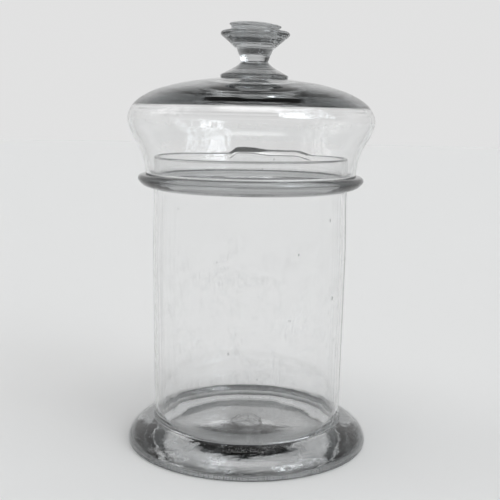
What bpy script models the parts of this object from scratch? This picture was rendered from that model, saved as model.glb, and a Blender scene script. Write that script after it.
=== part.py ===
"""Glass specimen jar with a domed lift-off cover, hand blown.

Metres, +Z up.  The origin is the centre of the ring that the foot stands on.
Every piece is turned round the Z axis.  Pieces that a glassmaker joins hot keep
a clearance of JOIN_GAP, so each one stays a closed solid of its own.
"""
import math

import bpy

MM = 0.001

# Driving dimensions
FOOT_RADIUS = 70.0 * MM
STANDING_RING = (62.0 * MM, 68.0 * MM)
NECK_RADIUS = 55.4 * MM
BELLY_RADIUS = 55.9 * MM
HEEL_RADIUS = 54.8 * MM
WALL = 2.3 * MM
RIM_HEIGHT = 167.8 * MM
HEEL_CENTRE = (47.0 * MM, 14.6 * MM)
FLOOR_TOP = 10.3 * MM
KICK_UP_TOP = 14.2 * MM
JUNCTION_HEIGHT = 15.6 * MM
COLLAR_TOP = 157.0 * MM
COLLAR_BOTTOM = 148.6 * MM
COLLAR_RADIUS = 64.5 * MM
LID_NECK_RADIUS = 60.0 * MM
LID_RADIUS = 69.7 * MM
LID_CROWN = 210.8 * MM
LID_WALL = 2.4 * MM
KNOB_SEAT = 209.3 * MM
KNOB_DISC_RADIUS = 19.3 * MM
WAFER_THICKNESS = 1.6 * MM
WAIST_RADIUS = 7.5 * MM
WAIST_HEIGHT = 220.2 * MM
FLANGE_TOP = 237.1 * MM
KNOB_TOP = 242.2 * MM
JOIN_GAP = 0.3 * MM

LARGE_STEPS = 48
SMALL_STEPS = 32
MERGE = 0.00001


def clear_scene():
    for obj in list(bpy.data.objects):
        bpy.data.objects.remove(obj, do_unlink=True)


def glass(name, colour, roughness):
    """Clear soda glass with the slight grey cast of its thickness."""
    material = bpy.data.materials.new(name)
    material.use_nodes = True
    shader = material.node_tree.nodes["Principled BSDF"]
    shader.inputs["Base Color"].default_value = (*colour, 1.0)
    shader.inputs["Roughness"].default_value = roughness
    shader.inputs["Metallic"].default_value = 0.0
    shader.inputs["IOR"].default_value = 1.5
    shader.inputs["Transmission Weight"].default_value = 1.0
    return material


def arc(centre, radius, start, end, count):
    """Points on an arc of the outline, angles in degrees from outwards towards up."""
    points = []
    for step in range(count + 1):
        angle = math.radians(start + (end - start) * step / count)
        points.append((centre[0] + radius * math.cos(angle), centre[1] + radius * math.sin(angle)))
    return points


def curve(knots, per_span):
    """Catmull-Rom curve through the knots, with per_span pieces between two of them."""
    ends = [knots[0]] + knots + [knots[-1]]
    points = []
    for a, b, c, d in zip(ends, ends[1:], ends[2:], ends[3:]):
        for step in range(per_span):
            t = step / per_span
            points.append(tuple(
                b[i] + 0.5 * t * (c[i] - a[i] + t * (2 * a[i] - 5 * b[i] + 4 * c[i] - d[i]
                                                     + t * (3 * (b[i] - c[i]) + d[i] - a[i])))
                for i in (0, 1)))
    return points + [knots[-1]]


def mm(*pairs):
    return [(r * MM, z * MM) for r, z in pairs]


def inset(points, thickness):
    """The outline moved inwards by the glass thickness, square to its own direction."""
    moved = []
    for index, (r, z) in enumerate(points):
        before = points[max(index - 1, 0)]
        after = points[min(index + 1, len(points) - 1)]
        along = (after[0] - before[0], after[1] - before[1])
        length = math.hypot(*along)
        moved.append((r + thickness * along[1] / length, z - thickness * along[0] / length))
    return moved


def turned(name, outline, material, steps, closed=False):
    """Revolves the outline, which runs down its outer side, with a Screw modifier."""
    count = len(outline)
    edges = [(i, i + 1) for i in range(count - 1)]
    if closed:
        edges.append((count - 1, 0))
    mesh = bpy.data.meshes.new(name)
    mesh.from_pydata([(r, 0.0, z) for r, z in outline], edges, [])
    obj = bpy.data.objects.new(name, mesh)
    mesh.materials.append(material)
    screw = obj.modifiers.new("Revolve", 'SCREW')
    screw.axis = 'Z'
    screw.angle = 2 * math.pi
    screw.steps = steps
    screw.render_steps = steps
    screw.use_merge_vertices = True
    screw.merge_threshold = MERGE
    screw.use_smooth_shade = True
    return obj


def jar_body():
    """Blown cylinder: sheared and fire-polished rim, rounded heel, pushed-up floor."""
    floor = curve([(0.0, KICK_UP_TOP), (12.0 * MM, 13.7 * MM), (24.0 * MM, 12.3 * MM),
                   (36.0 * MM, 10.6 * MM), (44.0 * MM, FLOOR_TOP), (50.0 * MM, 12.6 * MM),
                   (HEEL_RADIUS - WALL, 19.0 * MM)], 2)
    inner_wall = [(BELLY_RADIUS - WALL, 116.0 * MM)]
    lip = arc((NECK_RADIUS - WALL / 2, RIM_HEIGHT - WALL / 2), WALL / 2, 180.0, 0.0, 4)
    outer_wall = [(NECK_RADIUS, 140.0 * MM), (BELLY_RADIUS, 116.0 * MM), (55.5 * MM, 80.0 * MM),
                  (HEEL_RADIUS, 30.0 * MM)]
    heel = arc(HEEL_CENTRE, HEEL_RADIUS - HEEL_CENTRE[0], 0.0, -90.0, 4)
    outline = floor + inner_wall + lip + outer_wall + heel + [(0.0, heel[-1][1])]
    return turned("jar_body", outline, glass("body_glass", (0.95, 0.965, 0.96), 0.02), LARGE_STEPS)


def foot():
    """Applied bell-shaped foot: a cup that holds the heel, hollowed underneath."""
    socket = arc(HEEL_CENTRE, HEEL_RADIUS - HEEL_CENTRE[0] + JOIN_GAP, -90.0, 0.0, 4)
    top_edge = (HEEL_RADIUS + JOIN_GAP, JUNCTION_HEIGHT)
    bell = curve([top_edge, (59.6 * MM, 14.0 * MM), (64.2 * MM, 11.3 * MM), (67.8 * MM, 8.0 * MM),
                  (69.6 * MM, 4.6 * MM), (FOOT_RADIUS, 2.2 * MM)], 2)
    lip = arc((STANDING_RING[1], 2.2 * MM), 2.0 * MM, -30.0, -60.0, 1) + [(STANDING_RING[1], 0.0)]
    underside = [(STANDING_RING[0], 0.0)] + mm((59.0, 0.9), (50.0, 2.3), (34.0, 3.5), (16.0, 4.1),
                                               (0.0, 4.3))
    outline = [(0.0, socket[0][1])] + socket + bell + lip + underside
    return turned("foot", outline, glass("foot_glass", (0.92, 0.94, 0.945), 0.03), LARGE_STEPS)


def collar_ring():
    """Thick thread of glass laid round the neck, on which the cover rests."""
    inside = NECK_RADIUS + JOIN_GAP
    nose = curve([(60.9 * MM, COLLAR_TOP), (63.4 * MM, 156.4 * MM), (COLLAR_RADIUS, 154.3 * MM),
                  (61.9 * MM, 151.0 * MM), (58.6 * MM, 149.5 * MM)], 2)
    outline = [(inside, COLLAR_TOP)] + nose + [(inside, COLLAR_BOTTOM)]
    return turned("collar_ring", outline, glass("collar_glass", (0.91, 0.93, 0.935), 0.03),
                  LARGE_STEPS, closed=True)


def pontil_mark():
    """Rough disc of glass left where the pontil rod was cracked off."""
    outline = mm((0.0, 4.0), (8.0, 3.8), (9.0, 3.3), (8.2, 2.7), (5.0, 2.4), (0.0, 2.7))
    return turned("pontil_mark", outline, glass("pontil_glass", (0.90, 0.92, 0.92), 0.15),
                  SMALL_STEPS)


def lid_dome():
    """Blown cover: neck, swelling shoulder and low crown with a seat for the knob."""
    rest = COLLAR_TOP + JOIN_GAP
    crown = curve([(20.2 * MM, LID_CROWN), (38.5 * MM, 208.4 * MM), (60.3 * MM, 201.0 * MM),
                   (LID_RADIUS, 188.0 * MM), (67.6 * MM, 179.4 * MM), (62.1 * MM, 168.7 * MM),
                   (LID_NECK_RADIUS, rest)], 3)
    seat = [(0.0, KNOB_SEAT), (19.8 * MM, KNOB_SEAT)]
    lining = inset(crown, LID_WALL)
    lining[-1] = (LID_NECK_RADIUS - LID_WALL, rest)
    neck_and_shoulder = [point for point in lining[::-1] if point[1] < 191.5 * MM]
    thick_crown = mm((64.7, 194.3), (60.1, 197.0), (55.6, 198.2), (50.6, 199.1), (43.7, 200.1), (36.5, 201.1),
                     (29.0, 201.9), (19.5, 202.6), (9.5, 203.1), (0.0, 203.2))
    outline = seat + crown + neck_and_shoulder + thick_crown
    return turned("lid_dome", outline, glass("lid_glass", (0.94, 0.955, 0.955), 0.02), LARGE_STEPS)


def knob_wafer():
    """Thin disc dropped on the crown to take the knob."""
    bottom = KNOB_SEAT + JOIN_GAP
    edge = WAFER_THICKNESS / 2
    outline = [(0.0, bottom + WAFER_THICKNESS)]
    outline += arc((KNOB_DISC_RADIUS - edge, bottom + edge), edge, 90.0, -90.0, 4)
    outline += [(0.0, bottom)]
    return turned("knob_wafer", outline, glass("wafer_glass", (0.90, 0.92, 0.925), 0.03), SMALL_STEPS)


def knob_merese():
    """Disc drawn up into a cone that narrows to the waist."""
    bottom = KNOB_SEAT + 2 * JOIN_GAP + WAFER_THICKNESS
    edge = 1.0 * MM
    cone = curve([(WAIST_RADIUS, WAIST_HEIGHT), (9.6 * MM, 218.2 * MM), (14.0 * MM, 215.6 * MM),
                  (18.2 * MM, bottom + 2 * edge)], 2)
    nose = arc((KNOB_DISC_RADIUS - edge, bottom + edge), edge, 60.0, -90.0, 4)
    outline = [(0.0, WAIST_HEIGHT)] + cone + nose + [(0.0, bottom)]
    return turned("knob_merese", outline, glass("merese_glass", (0.89, 0.91, 0.915), 0.03),
                  SMALL_STEPS)


def knob_funnel():
    """The grip: a solid flared stem with a step, under a rolled flange."""
    edge = 1.6 * MM
    bottom = WAIST_HEIGHT + JOIN_GAP
    nose = arc((17.9 * MM, FLANGE_TOP - edge), edge, 90.0, -50.0, 5)
    flare = mm((14.8, 231.0), (11.4, 227.9), (10.2, 227.2), (9.7, 225.8), (8.6, 223.2))
    outline = [(0.0, FLANGE_TOP)] + nose + flare + [(WAIST_RADIUS, bottom), (0.0, bottom)]
    return turned("knob_funnel", outline, glass("funnel_glass", (0.89, 0.91, 0.915), 0.03),
                  SMALL_STEPS)


def knob_button():
    """Low grooved disc that finishes the top of the knob."""
    bottom = FLANGE_TOP + JOIN_GAP
    side = mm((7.0, 241.9), (13.4, 241.0), (14.7, 240.2), (13.9, 239.2), (13.5, 238.6), (13.8, 237.9))
    outline = [(0.0, KNOB_TOP)] + side + [(13.2 * MM, bottom), (0.0, bottom)]
    return turned("knob_button", outline, glass("button_glass", (0.89, 0.91, 0.915), 0.03),
                  SMALL_STEPS)


def main():
    clear_scene()
    jar = bpy.data.collections.new("specimen_jar")
    bpy.context.scene.collection.children.link(jar)
    standing = bpy.data.objects.new("jar", None)
    lifting = bpy.data.objects.new("lid", None)
    jar.objects.link(standing)
    jar.objects.link(lifting)
    pieces = {standing: (jar_body(), foot(), collar_ring(), pontil_mark()),
              lifting: (lid_dome(), knob_wafer(), knob_merese(), knob_funnel(), knob_button())}
    for parent, members in pieces.items():
        for obj in members:
            jar.objects.link(obj)
            obj.parent = parent


main()
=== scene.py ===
"""Looks of the blown-glass specimen jar: every CAD node is replaced by a finer turned piece.

Metres, +Z up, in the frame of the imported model.  Pieces that were joined hot lie SEAM_GAP apart.
Those faces are marked as seams, where the glass has no step in its index, so that light passes
from one piece into the next as in one melt.
"""
import math
import random

import bmesh
import bpy
import numpy as np
from mathutils import Matrix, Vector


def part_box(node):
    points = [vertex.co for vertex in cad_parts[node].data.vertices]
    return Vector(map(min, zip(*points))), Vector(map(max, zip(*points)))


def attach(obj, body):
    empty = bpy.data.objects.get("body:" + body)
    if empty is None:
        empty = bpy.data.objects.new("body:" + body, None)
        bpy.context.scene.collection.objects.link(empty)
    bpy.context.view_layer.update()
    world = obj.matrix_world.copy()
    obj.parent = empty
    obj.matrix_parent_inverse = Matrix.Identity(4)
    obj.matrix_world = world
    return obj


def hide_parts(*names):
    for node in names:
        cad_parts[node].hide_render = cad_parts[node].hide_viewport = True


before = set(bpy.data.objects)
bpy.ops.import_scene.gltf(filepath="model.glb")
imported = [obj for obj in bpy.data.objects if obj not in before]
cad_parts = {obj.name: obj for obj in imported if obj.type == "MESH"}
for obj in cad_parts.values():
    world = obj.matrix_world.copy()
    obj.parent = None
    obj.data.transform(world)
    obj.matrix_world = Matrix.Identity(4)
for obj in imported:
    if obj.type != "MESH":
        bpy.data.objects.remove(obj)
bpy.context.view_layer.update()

MM = 0.001
SEGMENTS = 144          # steps round the axis
SKIN, SEAM = 0.0, 1.0   # an outline's run is open glass, or fused to the next piece
SEAM_MARK = "seam"
SEAM_GAP = 0.02 * MM
INDEX = 1.5
FLOOR = 0.0             # height of what the jar stands on
PALE = 0.757            # brightness of the world low down, as pale as the floor in front of it
FLOOR_COLOUR = (0.81, 0.805, 0.795, 1.0)


def reach(node):
    """Radius, lowest and highest height of a CAD node."""
    low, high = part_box(node)
    return high.x, low.z, high.z


FOOT_R, FOOT_LOW, FOOT_TOP = reach("foot")
BODY_R, BODY_LOW, RIM_TOP = reach("jar_body")
COLLAR_R, COLLAR_LOW, COLLAR_TOP = reach("collar_ring")
PONTIL_R, PONTIL_LOW, PONTIL_TOP = reach("pontil_mark")
LID_R, LID_LOW, LID_TOP = reach("lid_dome")
WAFER_R, WAFER_LOW, WAFER_TOP = reach("knob_wafer")
MERESE_R, _, WAIST = reach("knob_merese")
FLANGE_R, _, FLANGE_TOP = reach("knob_funnel")
BUTTON_R, _, KNOB_TOP = reach("knob_button")

# Turns at which the lip's fold begins, and at which its high and its low part end
FOLD = [math.radians(a) for a in (-16, -9, -2, 14, 31, 46)]
FOLD_UP = 4.3 * MM
FOLD_HIGH, FOLD_LOW = 0.32, 0.68    # how much of FOLD_UP each part brings
MOUTH_TILT = 0.7 * MM
WALL = 2.3 * MM
NECK_R = BODY_R - 0.5 * MM
HEEL_R = BODY_R - 1.1 * MM
HEEL_TURN_R = 47.0 * MM             # where the heel's arc runs out into the flat bottom
HEEL_CENTRE = (HEEL_TURN_R, BODY_LOW + HEEL_R - HEEL_TURN_R)
RING_IN, RING_OUT = 62.0 * MM, 68.0 * MM    # the flat ring that the foot stands on
LID_NECK_R = 60.0 * MM
WAIST_R = 7.5 * MM
BUTTON_SEAT_R = 13.2 * MM

LENS = 64.8
CAMERA_AT = (0.0003, -0.5178, 0.1899)
CAMERA_DOWN, CAMERA_ROLL = math.radians(8.45), math.radians(0.95)
BOUNCES = 14
CLEAR_LAYERS = 40       # shadow rays pass many skins of glass


# ---------------------------------------------------------------- outlines

def spline(knots, step=0.8 * MM):
    """Points about a step apart on a smooth curve through the knots (chord-length Catmull-Rom)."""
    p = [np.array(k, float) for k in knots]
    p = [2 * p[0] - p[1]] + p + [2 * p[-1] - p[-2]]
    points = []
    for a, b, c, d in zip(p, p[1:], p[2:], p[3:]):
        ab, bc, cd = (max(math.sqrt(np.linalg.norm(v - u)), 1e-6) for u, v in ((a, b), (b, c), (c, d)))
        into = (c - b) + bc * ((b - a) / ab - (c - a) / (ab + bc))
        out = (c - b) + bc * ((d - c) / cd - (d - b) / (bc + cd))
        count = max(2, round(np.linalg.norm(c - b) / step))
        for t in np.arange(count) / count:
            points.append((2 * t ** 3 - 3 * t ** 2 + 1) * b + (t ** 3 - 2 * t ** 2 + t) * into
                          + (3 * t ** 2 - 2 * t ** 3) * c + (t ** 3 - t ** 2) * out)
    return [tuple(q) for q in points] + [tuple(p[-2])]


def flowing(knots, step=0.6 * MM):
    """Points a step apart on the natural cubic spline through the knots: its bend never jumps,
    which would show as a step in whatever is seen through the wall."""
    p = np.array(knots, float)
    at_knot = np.concatenate([[0.0], np.cumsum(np.linalg.norm(np.diff(p, axis=0), axis=1))])
    h, last = np.diff(at_knot), len(p) - 1
    rows, right = np.eye(last + 1), np.zeros_like(p)
    for i in range(1, last):
        rows[i, i - 1:i + 2] = h[i - 1], 2 * (h[i - 1] + h[i]), h[i]
        right[i] = 6 * ((p[i + 1] - p[i]) / h[i] - (p[i] - p[i - 1]) / h[i - 1])
    bend = np.linalg.solve(rows, right)
    at = np.linspace(0, at_knot[-1], round(at_knot[-1] / step) + 1)
    k = np.clip(np.searchsorted(at_knot, at, side='right') - 1, 0, last - 1)
    a, w = ((at_knot[k + 1] - at) / h[k])[:, None], (h[k] ** 2 / 6)[:, None]
    b = 1 - a
    curve = a * p[k] + b * p[k + 1] + w * ((a ** 3 - a) * bend[k] + (b ** 3 - b) * bend[k + 1])
    return [tuple(q) for q in curve]


def arc(centre, radius, start, end, count=10):
    """Points on an arc of the outline, angles in degrees from outwards towards up."""
    angles = np.radians(np.linspace(start, end, count + 1))
    return [(centre[0] + radius * math.cos(a), centre[1] + radius * math.sin(a)) for a in angles]


def line(start, end, count):
    """Points on a straight run of the outline."""
    return [tuple(np.array(start) + (np.array(end) - start) * t) for t in np.linspace(0, 1, count + 1)]


def inset(points, thickness):
    """The outline moved square to itself, into the glass, by thickness(radius, height)."""
    p = np.array(points)
    along = np.gradient(p, axis=0)
    along /= np.linalg.norm(along, axis=1, keepdims=True)
    depth = np.array([thickness(r, z) for r, z in points])
    return [tuple(q) for q in p + np.stack([along[:, 1], -along[:, 0]], 1) * depth[:, None]]


def thin_out(points, gap=0.05 * MM):
    """Drops points that fall on the one before."""
    kept = [points[0]]
    for p in points[1:]:
        if math.dist(p, kept[-1]) > gap:
            kept.append(p)
    return kept


# ---------------------------------------------------------------- turning

def add_face(mesh, corners):
    """A face on the corners that differ, or None where they close up at the axis."""
    kept = []
    for corner in corners:
        if corner not in kept:
            kept.append(corner)
    return mesh.faces.new(kept) if len(kept) > 2 else None


def blister(mesh, shape, centre, radii):
    """A gas bubble shut in the glass: a small closed skin whose front looks inward."""
    rows, around = 6, 8
    x, y, z = centre
    columns = []
    for i in range(rows + 1):
        tilt = math.pi * i / rows
        ring = []
        for k in range(around):
            turn = 2 * math.pi * k / around
            if i in (0, rows) and k:
                ring.append(ring[0])
                continue
            ring.append(mesh.verts.new(shape(x + radii[0] * math.sin(tilt) * math.cos(turn),
                                             y + radii[1] * math.sin(tilt) * math.sin(turn),
                                             z + radii[2] * math.cos(tilt))))
        columns.append(ring)
    for upper, lower in zip(columns, columns[1:]):
        for k in range(around):
            n = (k + 1) % around
            add_face(mesh, (upper[n], lower[n], lower[k], upper[k])).smooth = True


def part_seams(rings, kinds):
    """Draws the seams a hair into their own piece: a ray can't pass two faces that lie in one place."""
    apart = []
    for i, (r, z) in enumerate(rings):
        before, after = rings[max(i - 1, 0)], rings[min(i + 1, len(rings) - 1)]
        if SKIN in kinds[max(i - 1, 0):i + 1]:
            apart.append((r, z))
            continue
        along = np.array(after) - np.array(before)
        along /= np.linalg.norm(along)
        apart.append((r + SEAM_GAP * along[1] if r > 1e-7 else 0.0, z - SEAM_GAP * along[0]))
    return apart


def revolve(name, runs, shape, material, bubbles=()):
    """Turns runs of an outline, which go down its outer side, into one closed mesh.

    Each run is (points, SEAM or SKIN).  shape(x, y, z) gives the handmade place of a point.
    """
    rings, kinds = [], []
    for points, kind in runs:
        for p in thin_out(list(points)):
            if rings and math.dist(p, rings[-1]) < 0.02 * MM:
                continue
            if rings:
                kinds.append(kind)
            rings.append(p)
    closed = rings[0][0] > 1e-7
    rings = part_seams(rings, kinds)
    mesh = bmesh.new()
    turn = [2 * math.pi * k / SEGMENTS for k in range(SEGMENTS)]
    columns = []
    for r, z in rings:
        if r < 1e-7:
            columns.append([mesh.verts.new(shape(0.0, 0.0, z))] * SEGMENTS)
        else:
            columns.append([mesh.verts.new(shape(r * math.cos(a), r * math.sin(a), z)) for a in turn])
    pairs = list(zip(columns, columns[1:], kinds))
    if closed:
        pairs.append((columns[-1], columns[0], runs[-1][1]))
    mark = mesh.faces.layers.float.new(SEAM_MARK)
    for upper, lower, kind in pairs:
        for k in range(SEGMENTS):
            n = (k + 1) % SEGMENTS
            face = add_face(mesh, (upper[k], lower[k], lower[n], upper[n]))
            if face:
                face[mark] = kind
                face.smooth = True
    for centre, radii in bubbles:
        blister(mesh, shape, centre, radii)
    data = bpy.data.meshes.new(name)
    mesh.to_mesh(data)
    mesh.free()
    data.materials.append(material)
    obj = bpy.data.objects.new(name, data)
    bpy.context.scene.collection.objects.link(obj)
    return obj


# ---------------------------------------------------------------- handmade shape

def ease(value, low, high):
    """0 below low, 1 above high, and a smooth step between."""
    t = min(max((value - low) / (high - low), 0.0), 1.0)
    return t * t * (3 - 2 * t)


def jar_shape(x, y, z):
    """Where blowing by hand left a point of the jar.  Pieces that meet share it, so seams stay shut."""
    r, turn = math.hypot(x, y), math.atan2(x, y)
    if r < 1e-7:
        turn = 0.0
    wall = ease(z, 20 * MM, 45 * MM) * (1 - ease(z, 143 * MM, COLLAR_LOW))
    lining = min(max((BODY_R - r) / WALL, 0.0), 1.0)
    ribs = (0.07 * math.sin(7 * turn + 0.6) + 0.06 * math.sin(11 * turn + 2.1)
            + 0.05 * math.sin(18 * turn + 0.3 + 6.0 * z) + 0.04 * math.sin(29 * turn + 1.0)
            + 0.016 * math.sin(53 * turn + 4.0 * z)) * MM
    grown = wall * (lining * ribs + 0.25 * MM * math.sin(2 * turn + 0.9))
    hump = ease(turn, FOLD[0], FOLD[1]) * (FOLD_LOW * (1 - ease(turn, FOLD[4], FOLD[5]))
                                           + FOLD_HIGH * (1 - ease(turn, FOLD[2], FOLD[3])))
    lip = ease(z, COLLAR_TOP, RIM_TOP)
    up = lip * (FOLD_UP * hump + MOUTH_TILT * math.cos(turn) + 0.25 * MM * math.sin(2 * turn + 2.4))
    grown += 1.15 * hump * ease(z, RIM_TOP - 4.0 * MM, RIM_TOP - 1.6 * MM) * (r - (NECK_R - WALL / 2))
    push_up = math.exp(-(r / (34 * MM)) ** 4) * ease(z, BODY_LOW, 10.5 * MM)
    ragged = (1 - ease(r, PONTIL_R, 20 * MM)) * (1 - ease(z, 4.3 * MM, BODY_LOW))
    grown += ragged * r * (0.07 * math.sin(3 * turn + 1.0) + 0.04 * math.sin(7 * turn))
    scale = 1 + grown / r if r > 1e-7 else 1.0
    return x * scale - 3.0 * MM * push_up, y * scale, z + up


def lid_shape(x, y, z):
    """The same for the lid: its knob leans a little to +X and its button slopes."""
    r, turn = math.hypot(x, y), math.atan2(x, y)
    if r < 1e-7:
        turn = 0.0
    middle = (1 - ease(r, 22 * MM, 52 * MM)) * ease(z, 198 * MM, WAFER_LOW)
    lean = math.tan(math.radians(0.7))
    button = ease(z, FLANGE_TOP, FLANGE_TOP + 3.0 * MM)
    shoulder = ease(z, 176 * MM, 192 * MM) * ease(r, 30 * MM, 60 * MM)
    flare = ease(z, LID_LOW, 175 * MM) * (1 - ease(z, 186 * MM, 200 * MM))
    grown = flare * 0.12 * MM * math.sin(3 * turn + 0.5)
    scale = 1 + grown / r if r > 1e-7 else 1.0
    up = -x * (middle * lean + button * 0.045 + shoulder * 0.006)
    return x * scale + middle * (1.0 * MM + lean * max(z - WAFER_LOW, 0.0)), y * scale, z + up


# ---------------------------------------------------------------- materials

class Graph:
    """Short ways to add shader nodes.  Every one takes sockets or plain numbers and gives a socket."""

    def __init__(self, tree):
        self.nodes, self.links = tree.nodes, tree.links

    def node(self, kind, *inputs, output=0, **settings):
        made = self.nodes.new(kind)
        for key, value in settings.items():
            setattr(made, key, value)
        for place, value in enumerate(inputs):
            if value is not None:
                self.put(made.inputs[place], value)
        return made.outputs[output]

    def put(self, socket, value):
        if isinstance(value, bpy.types.NodeSocket):
            self.links.new(value, socket)
        else:
            socket.default_value = value

    def math(self, operation, *inputs):
        return self.node("ShaderNodeMath", *inputs, operation=operation)

    def ease(self, value, low, high, start=0.0, end=1.0):
        return self.node("ShaderNodeMapRange", value, low, high, start, end,
                         interpolation_type='SMOOTHSTEP')

    def stretch(self, vector, scale):
        return self.node("ShaderNodeVectorMath", vector, scale, operation='MULTIPLY')

    def noise(self, vector, detail=2.0, rough=0.5, twist=0.0):
        made = self.nodes.new("ShaderNodeTexNoise")
        for name, value in (("Vector", vector), ("Scale", 1.0), ("Detail", detail), ("Roughness", rough),
                            ("Distortion", twist)):
            self.put(made.inputs[name], value)
        return made.outputs["Fac"]


def principled(name):
    material = bpy.data.materials.new(name)
    material.use_nodes = True
    return material, Graph(material.node_tree), material.node_tree.nodes["Principled BSDF"]


def painted_shade(graph, place, rim, lip):
    """How far the clear glass is greyed by painted shade: edge-on by rim, and with lip along the jar's folded
    mouth.
    The first changes with the view; it paints the dark edges that refraction shows, and in part the longer
    path through real glass."""
    facing = graph.nodes.new("ShaderNodeLayerWeight")
    facing.inputs["Blend"].default_value = 0.5
    shade = graph.math('MULTIPLY', graph.math('POWER', facing.outputs["Facing"], 5.0), rim)
    if not lip:
        return shade
    across, back, height = (graph.node("ShaderNodeSeparateXYZ", place, output=axis) for axis in range(3))
    turn = graph.math('ARCTAN2', across, back)
    begun = graph.ease(turn, FOLD[0], FOLD[1])
    high = graph.math('MULTIPLY', begun, graph.ease(turn, FOLD[2], FOLD[3], 1.0, 0.0))
    low = graph.math('MULTIPLY', begun, graph.ease(turn, FOLD[4], FOLD[5], 1.0, 0.0))
    rise = graph.math('MULTIPLY_ADD', high, FOLD_HIGH * FOLD_UP,
                      graph.math('MULTIPLY', low, FOLD_LOW * FOLD_UP))
    tilt = graph.math('MULTIPLY', graph.math('COSINE', turn), MOUTH_TILT)
    mouth = graph.math('ADD', graph.math('ADD', rise, tilt), RIM_TOP)
    # Painted shade: a dark line along the top of the mouth all round, and on the fold a dark crest and a dark
    # hem line below it, where the rounded glass looks dark by refraction.
    below = graph.math('SUBTRACT', mouth, height)
    roll = graph.math('MULTIPLY_ADD', high, 1.7 * MM, 1.3 * MM)
    crest_shade = graph.math('MULTIPLY', graph.math('LESS_THAN', below, roll), 0.93)
    hem_shade = graph.math('GREATER_THAN', below, 3.7 * MM)
    hem_shade = graph.math('MULTIPLY', hem_shade, graph.math('LESS_THAN', below, 4.3 * MM))
    fold_shade = graph.math('MAXIMUM', crest_shade, graph.math('MULTIPLY', hem_shade, 0.8))
    fold_shade = graph.math('MULTIPLY', fold_shade, graph.ease(low, 0.0, 0.3))
    brim_shade = graph.ease(below, 0.6 * MM, 1.0 * MM, 0.75, 0.0)
    return graph.math('MAXIMUM', shade, graph.math('MAXIMUM', brim_shade, fold_shade))


def glass(name, grain, depth, fine=0.10, film=0.0, film_top=1.0, smooth_above=1.0, calm_front=False,
          ground=(), twist=0.4, cast=32.0, rim=0.0, lip=False):
    """Clear glass with a wavy skin, a faint milky film, ground faces, and a grey cast by depth.
    Rays sent to the lights pass straight through, a little dimmed, so its shadow is light.

    grain is how often the waves come per metre along each axis, depth how deep they are and fine
    how much finer ripple they carry.  They fade out above the height smooth_above, and low down
    towards -Y with calm_front.  ground holds (low, high) heights of worn or cut faces.  rim is how
    far painted shade darkens the glass where it is seen edge-on, and lip paints dark shade lines
    along the folded mouth of the jar.
    """
    material, graph, shader = principled(name)
    place = graph.node("ShaderNodeTexCoord", output=3)
    height = graph.node("ShaderNodeSeparateXYZ", place, output=2)
    back = graph.node("ShaderNodeSeparateXYZ", place, output=1)
    waves = graph.noise(graph.stretch(place, grain), 2.0, 0.45, twist)
    ripples = graph.noise(graph.stretch(place, tuple(3.7 * g for g in grain)), 3.0, 0.6, twist)
    skin = graph.math('MULTIPLY_ADD', ripples, fine, waves)
    skin = graph.math('MULTIPLY', skin, graph.ease(height, smooth_above - 8 * MM, smooth_above, 1.0, 0.12))
    if calm_front:
        loose = graph.math('MAXIMUM', graph.ease(back, -10 * MM, 35 * MM),
                           graph.ease(height, 178 * MM, 188 * MM, 0.0, 0.4))
        skin = graph.math('MULTIPLY', skin, graph.math('MAXIMUM', loose, 0.12))
    bump = graph.nodes.new("ShaderNodeBump")
    bump.inputs["Strength"].default_value = 1.0
    bump.inputs["Distance"].default_value = depth
    graph.links.new(skin, bump.inputs["Height"])
    graph.links.new(bump.outputs[0], shader.inputs["Normal"])

    cloud = graph.noise(graph.stretch(place, (26.0, 26.0, 34.0)), 5.0, 0.62, 1.6)
    strokes = graph.noise(graph.stretch(place, (170.0, 170.0, 60.0)), 4.0, 0.7, 2.4)
    smear = graph.math('MULTIPLY', graph.ease(cloud, 0.47, 0.68), graph.ease(strokes, 0.42, 0.66))
    dull = graph.math('MULTIPLY', smear, 0.025)
    milky = graph.math('MULTIPLY', smear, graph.ease(height, film_top - 40 * MM, film_top, film, 0.0))
    speck = graph.noise(graph.stretch(place, (2100.0, 2100.0, 2100.0)), 1.0)
    for low, high in ground:
        soft = 0.5 * MM
        cut = graph.math('MULTIPLY', graph.ease(height, low - soft, low),
                         graph.ease(height, high, high + soft, 1.0, 0.0))
        cut = graph.math('MULTIPLY', cut, graph.ease(speck, 0.30, 0.52, 0.45, 1.0))
        dull = graph.math('MAXIMUM', dull, graph.math('MULTIPLY', cut, 0.38))
        milky = graph.math('MAXIMUM', milky, graph.math('MULTIPLY', cut, 0.30))
    graph.put(shader.inputs["Roughness"], dull)
    shader.inputs["Transmission Weight"].default_value = 1.0
    if film or ground:
        graph.put(shader.inputs["Transmission Weight"], graph.math('SUBTRACT', 1.0, milky))

    shader.inputs["Base Color"].default_value = (1.0, 1.0, 1.0, 1.0)
    # Painted shade: the base colour is darkened where the glass is seen edge-on and along the jar's mouth.
    if rim or lip:
        clear = graph.math('SUBTRACT', 1.0, painted_shade(graph, place, rim, lip))
        graph.put(shader.inputs["Base Color"], graph.node("ShaderNodeCombineColor", clear, clear, clear))

    mark = graph.nodes.new("ShaderNodeAttribute")
    mark.attribute_name = SEAM_MARK
    graph.put(shader.inputs["IOR"], graph.math('MULTIPLY_ADD', mark.outputs["Fac"], 1.0 - INDEX, INDEX))
    depths = graph.node("ShaderNodeVolumeAbsorption", (0.485, 0.50, 0.505, 1.0), cast)
    through = graph.node("ShaderNodeBsdfTransparent", (0.95, 0.95, 0.95, 1.0))
    lamp = graph.node("ShaderNodeLightPath", output=1)
    surface = graph.node("ShaderNodeMixShader", lamp, shader.outputs[0], through)
    out = graph.nodes["Material Output"]
    graph.links.new(surface, out.inputs["Surface"])
    graph.links.new(depths, out.inputs["Volume"])
    return material


# ---------------------------------------------------------------- pieces

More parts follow.
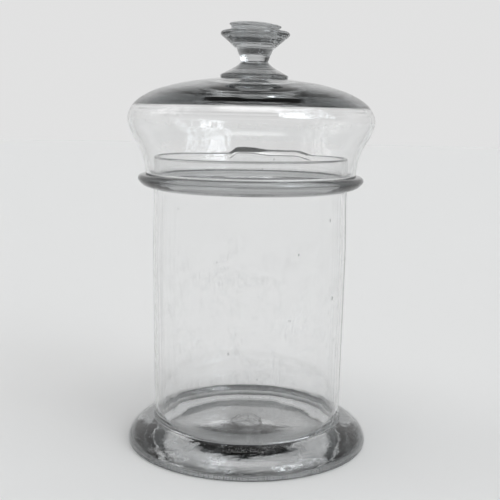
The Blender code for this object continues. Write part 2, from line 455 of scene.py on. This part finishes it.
def seeds(count, number, low, high, middle, size, tall=1.0):
    """Gas bubbles strewn in a wall whose middle is at radius middle(height)."""
    chance = random.Random(number)
    strewn = []
    for _ in range(count):
        turn, z = chance.uniform(0, 2 * math.pi), chance.uniform(low, high)
        r, wide = middle(z), size * chance.uniform(0.35, 1.0) ** 2
        radii = (wide, wide, wide * tall * chance.uniform(0.8, 1.6))
        strewn.append(((r * math.cos(turn), r * math.sin(turn), z), radii))
    return strewn


def make_body(material):
    floor = spline([(0.0, 14.2 * MM), (12.0 * MM, 13.7 * MM), (24.0 * MM, 12.3 * MM),
                    (36.0 * MM, 10.6 * MM), (44.0 * MM, 10.3 * MM), (50.0 * MM, 12.6 * MM),
                    (HEEL_R - WALL, 19.0 * MM), (HEEL_R - WALL, 30.0 * MM),
                    (BODY_R - WALL - 0.4 * MM, 80.0 * MM), (BODY_R - WALL, 116.0 * MM),
                    (NECK_R - WALL, 140.0 * MM), (NECK_R - WALL, 160.0 * MM)], 2.0 * MM)
    floor += line(floor[-1], (NECK_R - WALL, RIM_TOP - WALL / 2), 14)
    lip = arc((NECK_R - WALL / 2, RIM_TOP - WALL / 2), WALL / 2, 180, 0)
    neck = line((NECK_R, RIM_TOP - WALL / 2), (NECK_R, COLLAR_TOP), 20)
    held = line((NECK_R, COLLAR_TOP), (NECK_R, COLLAR_LOW), 6)
    wall = spline([(NECK_R, COLLAR_LOW), (NECK_R, 140.0 * MM), (BODY_R, 116.0 * MM),
                   (BODY_R - 0.4 * MM, 80.0 * MM), (HEEL_R, 30.0 * MM), (HEEL_R, FOOT_TOP)], 2.0 * MM)
    heel = line((HEEL_R, FOOT_TOP), (HEEL_R, HEEL_CENTRE[1]), 2)
    heel += arc(HEEL_CENTRE, HEEL_R - HEEL_TURN_R, 0, -90)
    bottom = line(heel[-1], (0.0, BODY_LOW), 12)
    in_wall = seeds(26, 4, 26 * MM, 140 * MM,
                    lambda z: HEEL_R - WALL / 2 + 0.5 * MM * ease(z, 30 * MM, 110 * MM), 0.55 * MM, 1.8)
    in_floor = seeds(7, 11, 8.3 * MM, 9.3 * MM, lambda z: 4 * MM + (z - 8.3 * MM) * 34, 0.45 * MM, 0.6)
    air_line = [((3.6 * MM, -3.5 * MM, 12.3 * MM), (0.35 * MM, 4.2 * MM, 0.3 * MM)),
                ((2.3 * MM, 1.2 * MM, 12.4 * MM), (1.3 * MM, 0.4 * MM, 0.3 * MM))]
    runs = [(floor, SKIN), (lip, SKIN), (neck, SKIN), (held, SEAM), (wall, SKIN), (heel, SEAM), (bottom, SEAM)]
    return revolve("body_of_jar", runs, jar_shape, material, in_wall + in_floor + air_line)


def make_foot(material):
    bottom = line((0.0, BODY_LOW), (HEEL_TURN_R, BODY_LOW), 12)
    socket = arc(HEEL_CENTRE, HEEL_R - HEEL_TURN_R, -90, 0)
    socket += line((HEEL_R, HEEL_CENTRE[1]), (HEEL_R, FOOT_TOP), 2)
    bell = spline([(HEEL_R, FOOT_TOP), (59.6 * MM, 14.0 * MM), (64.2 * MM, 11.3 * MM),
                   (67.8 * MM, 8.0 * MM), (69.6 * MM, 4.6 * MM), (FOOT_R, 2.2 * MM),
                   (69.4 * MM, 0.6 * MM), (RING_OUT, FOOT_LOW)])
    ring = line((RING_OUT, FOOT_LOW), (RING_IN, FOOT_LOW), 6)
    hollow = spline([(RING_IN, FOOT_LOW), (59.0 * MM, 0.9 * MM), (50.0 * MM, 2.3 * MM),
                     (34.0 * MM, 3.5 * MM), (16.0 * MM, 4.1 * MM), (PONTIL_R, PONTIL_TOP)], 1.5 * MM)
    scar = line((PONTIL_R, PONTIL_TOP), (0.0, PONTIL_TOP), 6)
    runs = [(bottom, SEAM), (socket, SEAM), (bell, SKIN), (ring, SKIN), (hollow, SKIN), (scar, SEAM)]
    return revolve("flared_foot", runs, jar_shape, material,
                   seeds(15, 8, 3.0 * MM, 8.5 * MM, lambda z: 63.5 * MM - z * 0.45, 0.6 * MM))


def make_collar(material):
    held = line((NECK_R, COLLAR_LOW), (NECK_R, COLLAR_TOP), 6)
    nose = spline([(NECK_R, COLLAR_TOP), (58.5 * MM, COLLAR_TOP + 0.05 * MM), (60.9 * MM, COLLAR_TOP),
                   (63.4 * MM, 156.4 * MM), (COLLAR_R, 154.3 * MM), (61.9 * MM, 151.0 * MM),
                   (58.6 * MM, 149.5 * MM), (NECK_R, COLLAR_LOW)], 0.5 * MM)
    return revolve("collar", [(held, SEAM), (nose, SKIN)], jar_shape, material)


def make_pontil(material):
    top = line((0.0, PONTIL_TOP), (PONTIL_R, PONTIL_TOP), 6)
    scar = spline([(PONTIL_R, PONTIL_TOP), (8.6 * MM, 3.0 * MM), (7.2 * MM, 2.6 * MM),
                   (4.0 * MM, PONTIL_LOW), (0.0, 2.7 * MM)], 0.6 * MM)
    return revolve("pontil_scar", [(top, SEAM), (scar, SKIN)], jar_shape, material)


def lid_thickness(r, z):
    """Thin and ringed by the tool at the shoulder, thick towards the middle of the crown."""
    if z < 196.0 * MM:
        ringed = ease(z, 189 * MM, 192 * MM) * (1 - ease(z, 194.5 * MM, 196 * MM))
        return WALL + 0.03 * MM * ringed * math.sin(2 * math.pi * z / (2.1 * MM))
    radii = [20, 30, 38, 46, 55, 60, 64, 66.7, 70]
    depths = [7.0, 6.8, 6.6, 6.2, 5.4, 4.6, 3.4, 2.3, 2.3]
    return float(np.interp(r / MM, radii, depths)) * MM


def make_dome(material):
    seat = line((0.0, WAFER_LOW), (WAFER_R, WAFER_LOW), 8)
    crown = flowing([(WAFER_R, WAFER_LOW), (19.9 * MM, LID_TOP - 0.4 * MM), (22.5 * MM, LID_TOP - 0.15 * MM),
                    (29.6 * MM, 209.7 * MM), (38.5 * MM, 208.35 * MM), (46.0 * MM, 206.5 * MM),
                    (54.0 * MM, 204.0 * MM), (60.3 * MM, 201.0 * MM), (65.3 * MM, 197.4 * MM),
                    (68.3 * MM, 193.5 * MM), (LID_R, 188.5 * MM), (69.3 * MM, 184.0 * MM),
                    (67.6 * MM, 179.4 * MM), (64.6 * MM, 174.3 * MM), (62.1 * MM, 168.7 * MM),
                    (60.8 * MM, 163.5 * MM), (LID_NECK_R, LID_LOW)])
    rim = line((LID_NECK_R, LID_LOW), (LID_NECK_R - WALL, LID_LOW), 3)
    lining = inset(crown, lid_thickness)[::-1]
    lining[0] = (LID_NECK_R - WALL, LID_LOW)
    lining = [p for p in lining if p[0] > 24.0 * MM]
    boss = spline([lining[-1], (12.0 * MM, lining[-1][1] + 0.5 * MM), (0.0, lining[-1][1] + 0.6 * MM)])
    in_neck = seeds(12, 5, 162 * MM, 172 * MM, lambda z: 59.0 * MM + (z - 162 * MM) * 0.27, 0.45 * MM)
    in_crown = seeds(8, 6, 203.4 * MM, 204.6 * MM, lambda z: 24 * MM + (204.6 * MM - z) * 12, 0.5 * MM)
    runs = [(seat, SEAM), (crown, SKIN), (rim, SKIN), (lining, SKIN), (boss, SKIN)]
    return revolve("dome_of_lid", runs, lid_shape, material, in_neck + in_crown)


def make_wafer(material):
    half = (WAFER_TOP - WAFER_LOW) / 2
    edge = arc((WAFER_R - half, WAFER_LOW + half), half, 90, -90)
    core = MERESE_R - 1.0 * MM
    top = line((0.0, WAFER_TOP), (core - 0.8 * MM, WAFER_TOP), 8)
    under = line((WAFER_R - half, WAFER_LOW), (0.0, WAFER_LOW), 8)
    return revolve("wafer", [(top, SEAM), (edge, SKIN), (under, SEAM)], lid_shape, material)


def make_merese(material):
    nose = arc((MERESE_R - 1.0 * MM, WAFER_TOP + 1.0 * MM), 1.0 * MM, 60, -90)
    cone = spline([(WAIST_R, WAIST), (9.6 * MM, 218.2 * MM), (14.0 * MM, 215.6 * MM), nose[0]])
    top = line((0.0, WAIST), (WAIST_R, WAIST), 4)
    under = line((MERESE_R - 1.8 * MM, WAFER_TOP), (0.0, WAFER_TOP), 8)
    runs = [(top, SEAM), (cone, SKIN), (nose, SKIN), (under, SEAM)]
    return revolve("merese", runs, lid_shape, material)


def make_funnel(material):
    edge = 1.6 * MM
    top = line((0.0, FLANGE_TOP), (BUTTON_SEAT_R, FLANGE_TOP), 5)
    shelf = line((BUTTON_SEAT_R, FLANGE_TOP), (FLANGE_R - edge, FLANGE_TOP), 4)
    nose = arc((FLANGE_R - edge, FLANGE_TOP - edge), edge, 90, -50)
    flare = spline([nose[-1], (14.8 * MM, 231.0 * MM), (11.4 * MM, 227.9 * MM), (10.3 * MM, 227.2 * MM),
                    (9.7 * MM, 225.8 * MM), (8.6 * MM, 223.2 * MM), (WAIST_R, WAIST)], 0.4 * MM)
    bottom = line((WAIST_R, WAIST), (0.0, WAIST), 4)
    runs = [(top, SEAM), (shelf, SKIN), (nose, SKIN), (flare, SKIN), (bottom, SEAM)]
    return revolve("funnel", runs, lid_shape, material)


def make_button(material):
    side = spline([(0.0, KNOB_TOP), (7.0 * MM, 241.9 * MM), (12.6 * MM, 241.2 * MM), (BUTTON_R, 240.3 * MM),
                   (13.9 * MM, 239.2 * MM), (13.5 * MM, 238.6 * MM), (13.9 * MM, 237.8 * MM),
                   (BUTTON_SEAT_R, FLANGE_TOP)], 0.4 * MM)
    under = line((BUTTON_SEAT_R, FLANGE_TOP), (0.0, FLANGE_TOP), 5)
    return revolve("button", [(side, SKIN), (under, SEAM)], lid_shape, material)


def looks():
    """One glass for each piece, told apart by how the tool or the pipe left its skin."""
    # rim sets how much painted shade darkens each glass seen edge-on; lip paints dark shade lines along the
    # jar's mouth.
    stem = {"depth": 0.03 * MM, "cast": 55.0, "rim": 0.35}
    return {
        "jar_body": glass("blown_wall", (330.0, 330.0, 9.0), 0.055 * MM, fine=0.06, film=0.12,
                          film_top=125 * MM, cast=16.0, rim=0.2, lip=True),
        "foot": glass("tooled_foot", (44.0, 44.0, 280.0), 0.17 * MM, fine=0.06, film=0.10,
                      ground=[(-1 * MM, 0.15 * MM)], twist=1.6, cast=60.0, rim=0.15),
        "collar_ring": glass("wound_collar", (60.0, 60.0, 420.0), 0.08 * MM, twist=0.8, cast=150.0, rim=0.4),
        "pontil_mark": glass("broken_pontil", (420.0, 420.0, 420.0), 0.25 * MM, film=0.2,
                             ground=[(0.0, 2.2 * MM)]),
        "lid_dome": glass("blown_lid", (120.0, 120.0, 150.0), 0.06 * MM, fine=0.05, smooth_above=196 * MM,
                          calm_front=True, ground=[(150 * MM, LID_LOW + 0.3 * MM)], twist=0.9, cast=26.0,
                          rim=0.5),
        "knob_wafer": glass("knob_wafer", (130.0, 130.0, 700.0), **stem),
        "knob_merese": glass("knob_merese", (130.0, 130.0, 520.0), **stem),
        "knob_funnel": glass("knob_funnel", (130.0, 130.0, 420.0), **stem),
        "knob_button": glass("knob_button", (260.0, 260.0, 420.0), 0.04 * MM, cast=55.0, rim=0.35),
    }


def build_pieces():
    """Every piece in its own glass, on its body and in place of its CAD node."""
    makers = [
        (make_body, "jar_body", "jar", "body_glass"),
        (make_foot, "foot", "jar", "foot_glass"),
        (make_collar, "collar_ring", "jar", "collar_glass"),
        (make_pontil, "pontil_mark", "jar", "pontil_glass"),
        (make_dome, "lid_dome", "lid", "lid_glass"),
        (make_wafer, "knob_wafer", "lid", "knob_glass"),
        (make_merese, "knob_merese", "lid", "knob_glass"),
        (make_funnel, "knob_funnel", "lid", "knob_glass"),
        (make_button, "knob_button", "lid", "knob_glass"),
    ]
    materials = looks()
    for make, node, body, slot in makers:
        piece = make(materials[node])
        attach(piece, body)
        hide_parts(node)


# ---------------------------------------------------------------- studio

def backdrop():
    """A wide plain pale floor.  It ends far off, where the world behind it is as pale."""
    bpy.ops.mesh.primitive_circle_add(vertices=128, radius=6.0, fill_type='NGON', location=(0, 0, FLOOR))
    floor = bpy.context.object
    floor.name = "studio_floor"
    material, _, shader = principled("studio_floor")
    shader.inputs["Base Color"].default_value = FLOOR_COLOUR
    shader.inputs["Roughness"].default_value = 0.8
    shader.inputs["Specular IOR Level"].default_value = 0.0
    floor.data.materials.append(material)


def surroundings():
    """Evenly pale low down; above that a dimmer room with soft, netted panels of light."""
    world = bpy.data.worlds.new("studio")
    bpy.context.scene.world = world
    world.use_nodes = True
    graph = Graph(world.node_tree)
    toward = graph.node("ShaderNodeTexCoord", output=0)
    split = graph.nodes.new("ShaderNodeSeparateXYZ")
    graph.links.new(toward, split.inputs[0])
    x, y, z = split.outputs
    around = graph.math('DEGREES', graph.math('ARCTAN2', x, y))
    upward = graph.math('DEGREES', graph.math('ARCSINE', z))

    def between(value, low, high, soft):
        return graph.math('MULTIPLY', graph.ease(value, low - soft, low + soft),
                          graph.ease(value, high - soft, high + soft, 1.0, 0.0))

    spot = graph.node("ShaderNodeCombineXYZ", graph.math('MULTIPLY', around, 0.19),
                      graph.math('MULTIPLY', upward, 0.11))
    wander = graph.node("ShaderNodeTexNoise", spot, None, 1.6, 3.0, output=1)
    spot = graph.node("ShaderNodeVectorMath", wander, (0.9, 0.9, 0.0), spot, operation='MULTIPLY_ADD')
    cells = graph.node("ShaderNodeTexVoronoi", spot, None, 1.0, feature='DISTANCE_TO_EDGE')
    flecks = graph.node("ShaderNodeTexNoise", spot, None, 5.0, 3.0, 0.6)
    net = graph.math('MULTIPLY', graph.ease(cells, 0.04, 0.13), graph.ease(flecks, 0.36, 0.62, 0.35, 1.5))

    def panel(left, right, low, high, soft):
        """How much of a soft light is seen behind its netting: 0 beside it."""
        whole = graph.math('MULTIPLY', between(around, left, right, soft), between(upward, low, high, soft))
        return graph.math('MULTIPLY', whole, net)

    behind = graph.ease(y, -0.25, 0.35, 0.10, 0.78)
    room = graph.math('MULTIPLY', behind, graph.ease(upward, 16.0, 64.0, 1.0, 0.22))
    low_band = graph.ease(upward, 9.0, 16.0, 1.0, 0.0)
    turned = graph.math('ABSOLUTE', around)
    room = graph.node("ShaderNodeMix", low_band, None, room, PALE, output=0)
    canopy = graph.math('MULTIPLY', graph.ease(turned, 118.0, 140.0), between(upward, 54.0, 76.0, 5.0))
    above = graph.math('MULTIPLY', graph.ease(turned, 70.0, 95.0, 1.0, 0.0),
                       between(upward, 17.0, 33.0, 6.0))
    sides = graph.math('MULTIPLY', between(turned, 70.0, 120.0, 10.0), between(upward, 52.0, 80.0, 6.0))
    right = panel(92.0, 152.0, 16.0, 56.0, 3.0)
    core = panel(124.0, 150.0, 22.0, 46.0, 5.0)
    left = panel(-112.0, -72.0, 14.0, 50.0, 8.0)
    light = room
    for lamp, strength in ((canopy, 3.2), (right, 3.2), (core, 7.5), (above, 0.16), (sides, 0.5), (left, 1.9)):
        light = graph.math('MULTIPLY_ADD', lamp, strength, light)
    tint = graph.node("ShaderNodeMix", right, None, None, None, None, None,
                      (1.0, 1.0, 1.0, 1.0), (0.93, 0.985, 1.03, 1.0), output=2, data_type='RGBA')
    graph.put(graph.nodes["Background"].inputs["Color"], tint)
    graph.put(graph.nodes["Background"].inputs["Strength"], light)


def camera():
    """The photograph's own viewing angle."""
    data = bpy.data.cameras.new("camera")
    data.sensor_width = 36.0
    data.lens = LENS
    obj = bpy.data.objects.new("camera", data)
    aim = Matrix.Rotation(math.radians(90.0) - CAMERA_DOWN, 4, 'X') @ Matrix.Rotation(CAMERA_ROLL, 4, 'Z')
    obj.matrix_world = Matrix.Translation(CAMERA_AT) @ aim
    bpy.context.scene.collection.objects.link(obj)
    bpy.context.scene.camera = obj


def main():
    build_pieces()
    backdrop()
    surroundings()
    camera()
    cycles = bpy.context.scene.cycles
    cycles.max_bounces = BOUNCES
    cycles.transmission_bounces = BOUNCES
    cycles.glossy_bounces = BOUNCES
    cycles.transparent_max_bounces = CLEAR_LAYERS
    cycles.caustics_refractive = False
    cycles.caustics_reflective = False
    bpy.context.scene.view_settings.view_transform = 'Standard'


main()
